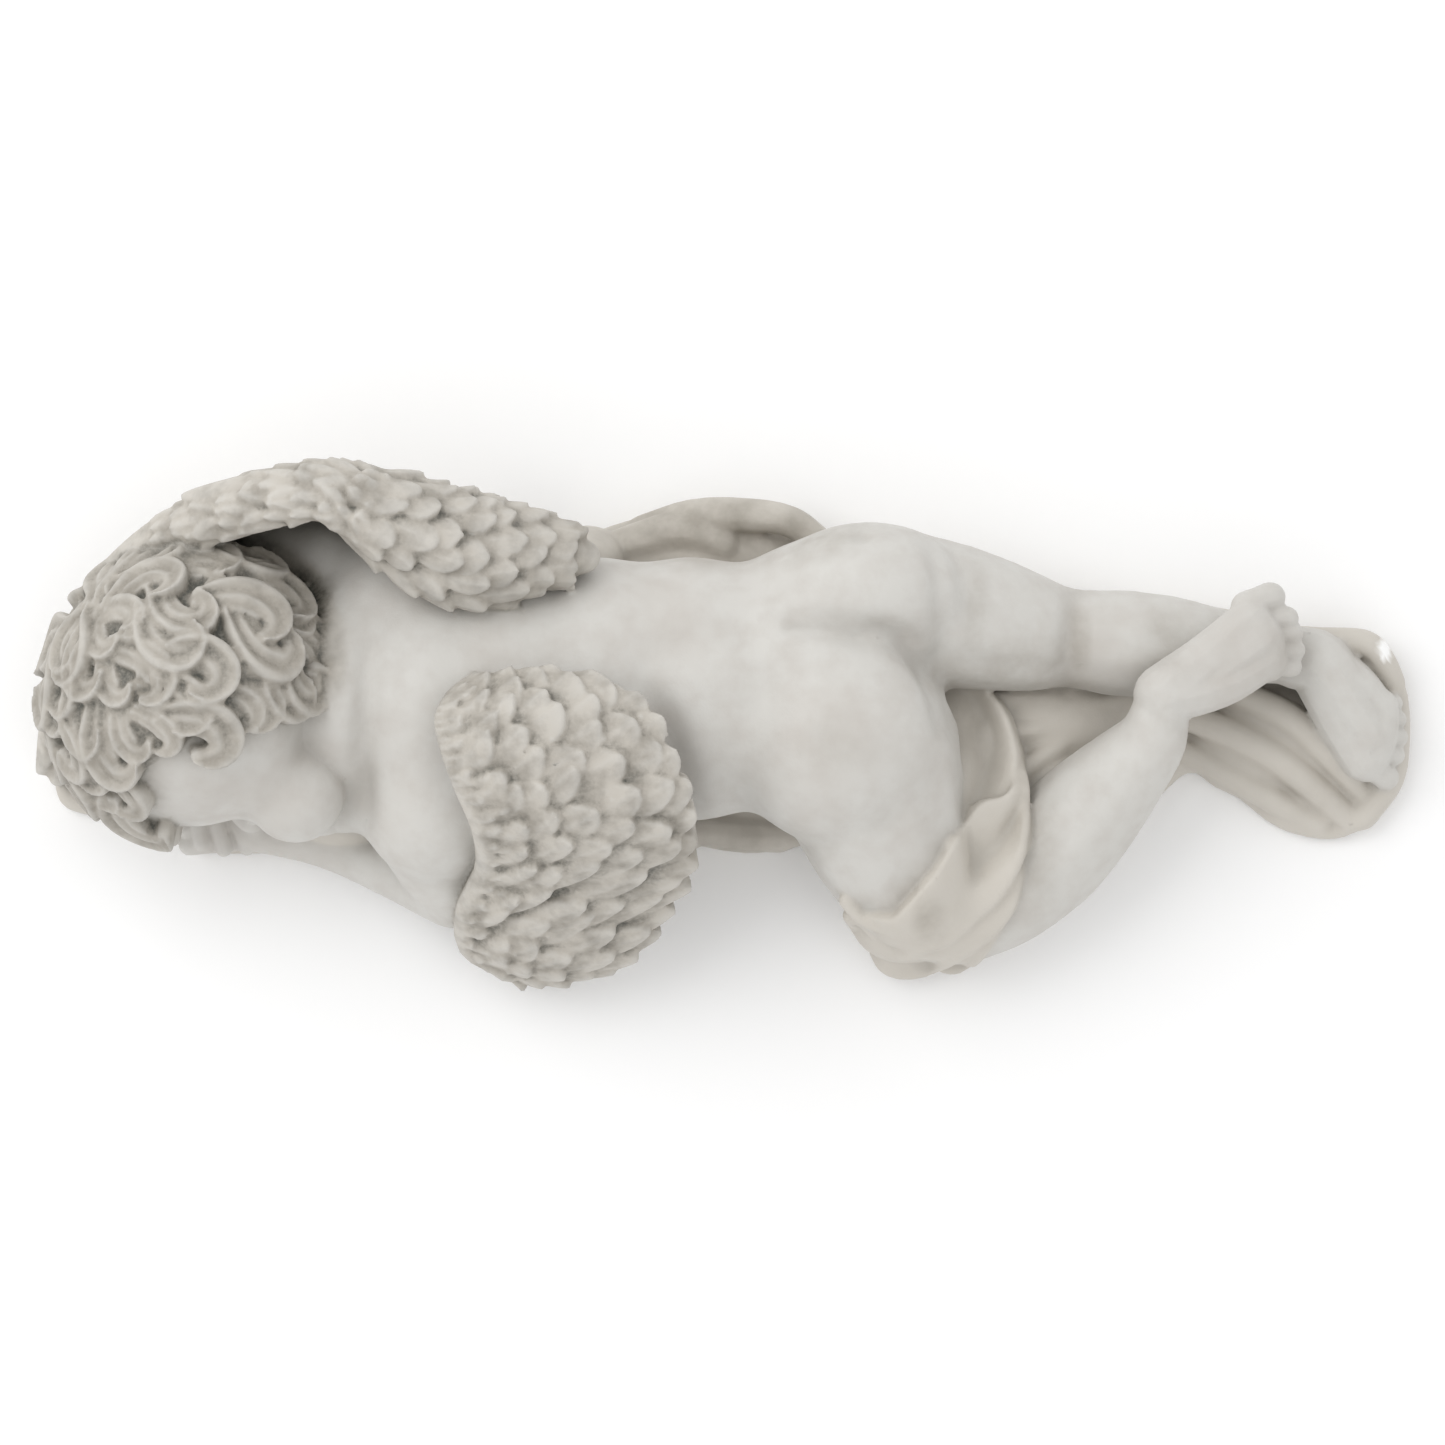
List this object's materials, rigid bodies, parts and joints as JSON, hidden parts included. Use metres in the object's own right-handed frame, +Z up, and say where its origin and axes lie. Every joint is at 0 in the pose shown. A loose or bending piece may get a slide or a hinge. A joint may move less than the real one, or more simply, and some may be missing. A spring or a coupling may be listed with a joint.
{
  "type": "sleeping angel statue",
  "caption": "Garden or shelf statue of a winged cherub asleep face down on a rumpled cloth, ankles crossed, cast in one piece with a flat underside.",
  "frame": {"origin": "centre of the bounding box on the flat underside", "axes": "+X from the head towards the feet, +Y towards the figure's right side, +Z up out of its back"},
  "size_m": [0.5028, 0.1912, 0.1183],
  "materials": {
    "weathered_stone": "matt, softly weathered, with warm grey patina in the recesses"
  },
  "bodies": {
    "root": {"sleeping_angel": "weathered_stone"}
  },
  "joints": []
}
